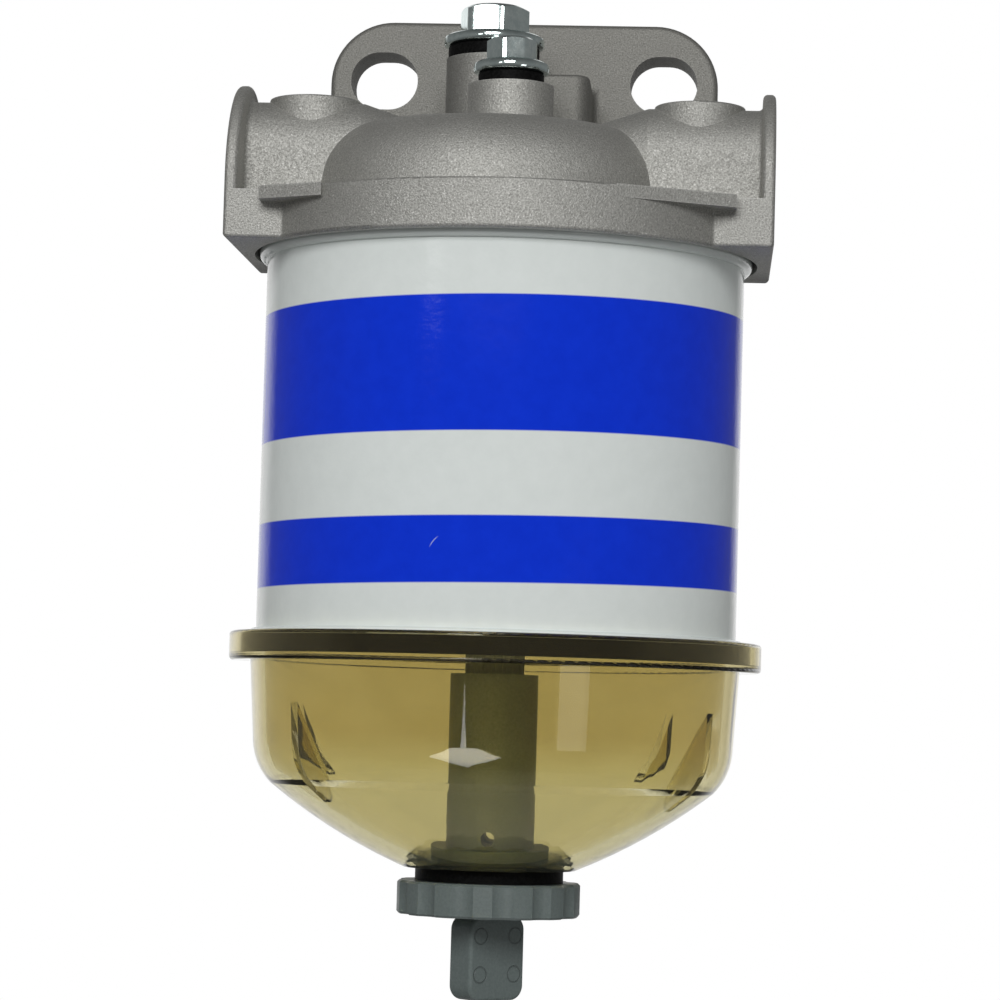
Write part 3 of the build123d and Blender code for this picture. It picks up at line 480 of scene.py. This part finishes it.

# %% [markdown]
# ## Amber bowl
# The bowl is clear plastic, tinted amber all through. A Principled shader with full transmission
# bends the light at both faces of its real wall, so the ribs, the rim and the turn of the wall
# draw their own dark and bright lines. The plastic's true index is near 1.5. A lower one is used,
# because at the true one the wall traps so much light that its lines turn black. The cone is lit
# brighter, and that light is painted in as a paler tint there. A small matt share stands for the
# plastic's haze.

# %% Amber bowl
PAINTED_LIGHT_FROM = -124            # where the painted light starts to pale the tint and where it is palest, in mm
PAINTED_LIGHT_TO = -134
amber, tree, shader = finish(
    "amber_clear_plastic", Roughness=0.015, IOR=1.36, Transmission_Weight=0.985)
cloud = place(tree, uneven, Size=12.0, Low=0.0, High=1.0)
tint = blended(tree, cloud["Value"], (0.57, 0.495, 0.25), (0.60, 0.525, 0.28))
low = add(tree, "SeparateXYZ", {"Vector": add(tree, "TexCoord").outputs["Object"]}).outputs["Z"]
# painted light: the tint turns paler in the cone, standing in for the brighter light there
tint = blended(tree, mapped(tree, low, PAINTED_LIGHT_FROM * MM, PAINTED_LIGHT_TO * MM, 0, 1), tint, (0.68, 0.63, 0.38))
tree.links.new(tint, shader.inputs["Base Color"])
dress(amber, "sediment_bowl")

# %% [markdown]
# ## Grey plastics
# The column is a dull grey, and the hand nut and the drain screw are a cooler, satin grey. The
# tab of the drain screw shows four faint rings, left on each broad face by the mould's ejector pins.
# Both faces and all four corners are alike, so the ring is found by distance from the tab's middle.

# %% Grey plastics
PIN_ALONG = 3.8             # from the middle of the four pins to each one, along the face
PIN_UP = 3.4                # the same, upright
PIN_MIDDLE = 8.0            # that middle above the tab's foot
PIN_RADIUS = 1.4
PIN_LINE = 0.16
TAB_TURN = math.radians(42)  # how far the tab stands turned from the front


def pin_rings(tree):
    """One where the ejector pins' edges stand on the drain screw's tab, and zero elsewhere."""
    spot = add(tree, "SeparateXYZ", {"Vector": add(tree, "TexCoord").outputs["Object"]}).outputs
    forward = math_node(tree, "MULTIPLY", math_node(tree, "SUBTRACT", spot["Y"], axis_y), math.sin(TAB_TURN))
    along = math_node(tree, "ADD", math_node(tree, "MULTIPLY", spot["X"], math.cos(TAB_TURN)), forward)
    up = math_node(tree, "SUBTRACT", spot["Z"], foot_z + PIN_MIDDLE * MM)
    away = [
        math_node(tree, "SUBTRACT", math_node(tree, "ABSOLUTE", value), offset * MM)
        for value, offset in ((along, PIN_ALONG), (up, PIN_UP))
    ]
    distance = add(tree, "VectorMath", {
        0: add(tree, "CombineXYZ", {"X": away[0], "Y": away[1]}).outputs[0],
    }, operation="LENGTH").outputs["Value"]
    off_line = math_node(tree, "ABSOLUTE", math_node(tree, "SUBTRACT", distance, PIN_RADIUS * MM))
    return mapped(tree, off_line, PIN_LINE / 2 * MM, PIN_LINE * MM, 1, 0)


def moulded(name, dark, light, low, high, pins=False):
    """Satin moulded plastic between two close greys, with the pins' rings if it has them."""
    material, tree, shader = finish(name)
    skin = place(tree, grain, Size=0.45, Depth=0.12)
    worn = place(tree, edges, Width=0.35)
    body = blended(tree, mapped(tree, skin["Speckle"], 0.35, 0.65, 0, 1), dark, light)
    pale = tuple(min(1, v * 1.5) for v in light)
    body = blended(tree, mapped(tree, worn["Mask"], 0, 1, 0, 0.35), body, pale)
    normal = skin["Normal"]
    if pins:
        rings = pin_rings(tree)
        body = blended(tree, mapped(tree, rings, 0, 1, 0, 0.45), body, tuple(v * 0.4 for v in dark))
        normal = add(tree, "Bump", {
            "Height": mapped(tree, rings, 0, 1, 1, 0), "Distance": PIN_LINE * MM, "Strength": 0.8,
            "Normal": normal,
        }).outputs["Normal"]
    tree.links.new(body, shader.inputs["Base Color"])
    tree.links.new(place(tree, uneven, Size=10.0, Low=low, High=high)["Value"], shader.inputs["Roughness"])
    tree.links.new(normal, shader.inputs["Normal"])
    return material


grey = moulded("grey_plastic", (0.118, 0.147, 0.142), (0.142, 0.172, 0.166), 0.35, 0.5, pins=True)
dress(grey, "bowl_nut", "drain_screw")
dress(moulded("grey_column_plastic", (0.225, 0.255, 0.205), (0.285, 0.315, 0.26), 0.4, 0.55), "centre_column")

# %% [markdown]
# ## Floor and backdrop
# The unit hangs on its wall, so the floor lies well below it. It is pale and fades into the white
# backdrop, and it keeps the soft shadow.

# %% Floor
FLOOR_BELOW = 420 * MM
FLOOR_HALF = 1.6
SOLID_WITHIN = 0.15         # the floor is whole this far out and gone at the second distance
GONE_BEYOND = 0.65
corners = [(x * FLOOR_HALF, y * FLOOR_HALF, 0) for x, y in ((-1, -1), (1, -1), (1, 1), (-1, 1))]
floor_mesh = bpy.data.meshes.new("floor")
floor_mesh.from_pydata(corners, [], [(0, 1, 2, 3)])
floor = bpy.data.objects.new("floor", floor_mesh)
floor.location = (0, axis_y, foot_z - FLOOR_BELOW)
bpy.context.scene.collection.objects.link(floor)

ground, tree, shader = finish("floor", Roughness=0.9)
shader.inputs["Base Color"].default_value = (0.86, 0.86, 0.85, 1)
spot = add(tree, "TexCoord").outputs["Object"]
reach = add(tree, "VectorMath", {0: spot}, operation="LENGTH").outputs["Value"]
solid = mapped(tree, reach, SOLID_WITHIN, GONE_BEYOND, 1.0, 0.0)
tree.links.new(solid, shader.inputs["Alpha"])
floor_mesh.materials.append(ground)
print("floor at", round(floor.location.z / MM), "mm")

# %% [markdown]
# ## Light
# The photograph's light is one large soft source in front, a little above the lens. That is why
# the middle of the can and the front of the arms are bright, and the top of the dome is darker.
# The world gives the rest. It is a dim room, darker above and below. Its sides are lighter, but
# only for matt surfaces, so the can's flanks don't sink into the dark and the rim of the bowl
# still mirrors a dark room. Straight behind the unit stands the white backdrop, which draws the
# pale line down both edges of the can. The camera itself sees white all round. Light that has
# come through the clear bowl sees white too, except where it turns back towards the camera.

# %% World
ROOM = 0.18                 # how bright the room is
SIDES = 0.5                 # how much brighter its two sides are
BACK_TURN = 0.14            # how far the backdrop's middle lies to the left of straight behind
world = bpy.data.worlds.new("studio")
bpy.context.scene.world = world
world.use_nodes = True
tree = world.node_tree
way = add(tree, "SeparateXYZ", {"Vector": add(tree, "TexCoord").outputs["Generated"]}).outputs
path = add(tree, "LightPath").outputs
depth = math_node(tree, "ABSOLUTE", way["Y"])
matt = mapped(tree, path["Is Glossy Ray"], 0, 1, 1, 0)
sides = math_node(tree, "MULTIPLY", mapped(tree, depth, 0.75, 0.1, 0.0, SIDES), matt)
behind = math_node(tree, "SUBTRACT", way["Y"], math_node(tree, "MULTIPLY", way["X"], BACK_TURN))
backdrop = mapped(tree, behind, 0.78, 0.92, 0.0, 1.0)
level = math_node(tree, "MAXIMUM", math_node(tree, "ADD", sides, ROOM), backdrop)
level = math_node(tree, "MULTIPLY", level, mapped(tree, way["Z"], 0.2, 0.8, 1.0, 0.5))
level = math_node(tree, "MULTIPLY", level, mapped(tree, way["Z"], -0.6, 0.0, 0.15, 1.0))
room = add(tree, "CombineColor", {"Red": level, "Green": level, "Blue": level}).outputs["Color"]
undimmed = mapped(tree, path["Diffuse Depth"], 0, 1, 1, 0)
clear_view = math_node(tree, "MULTIPLY", path["Is Transmission Ray"], undimmed)
clear_view = math_node(tree, "MULTIPLY", clear_view, mapped(tree, way["Y"], -0.5, -0.2, 0, 1))
seen = math_node(tree, "MAXIMUM", path["Is Camera Ray"], clear_view)
tree.links.new(blended(tree, seen, room, (1, 1, 1)), tree.nodes["Background"].inputs["Color"])
tree.nodes["Background"].inputs["Strength"].default_value = 1.0
print("world:", world.name)

# %% [markdown]
# ## Lamps
# Four soft boxes stand in front. The key lights everything. The side box draws the pale patch on
# the bowl, right of the column, and lifts the right of the head a little. The card is small and
# weak and is there for one facet of the rear screw, which mirrors it white. The gleam stands low,
# turned on its corner, and the bowl draws it out into the star at the turn of its wall. It is
# linked to the bowl alone and lights nothing else.

# %% Lamps
AIM = (0, -50, -80)


def softbox(name, place_mm, aim_mm, size_mm, power, turn=0.0):
    """A rectangular lamp at one point, aimed at another, turned about its own axis."""
    data = bpy.data.lights.new(name, "AREA")
    data.shape = "RECTANGLE"
    data.size, data.size_y = (v * MM for v in size_mm)
    data.energy = power
    lamp = bpy.data.objects.new(name, data)
    start, end = Vector(place_mm) * MM, Vector(aim_mm) * MM
    lamp.location = start
    aimed = (end - start).to_track_quat("-Z", "Y").to_matrix() @ Matrix.Rotation(math.radians(turn), 3, "Z")
    lamp.rotation_euler = aimed.to_euler()
    bpy.context.scene.collection.objects.link(lamp)
    return lamp


softbox("key", (-40, -1215, 400), AIM, size_mm=(640, 400), power=9.6)
softbox("side", (760, -950, -235), AIM, size_mm=(290, 270), power=0.5)
softbox("card", (-560, -1030, 190), AIM, size_mm=(180, 180), power=0.35)
gleam = softbox("gleam", (-188, -1135, -585), (0, -50, -112), size_mm=(500, 500), power=6.4, turn=45)
only = bpy.data.collections.new("lit by the gleam")
only.objects.link(nodes["sediment_bowl"])
gleam.light_linking.receiver_collection = only

# %% [markdown]
# ## Colour
# The view transform is Standard, so a colour comes out as it was written.

# %% View transform
bpy.context.scene.view_settings.view_transform = "Standard"
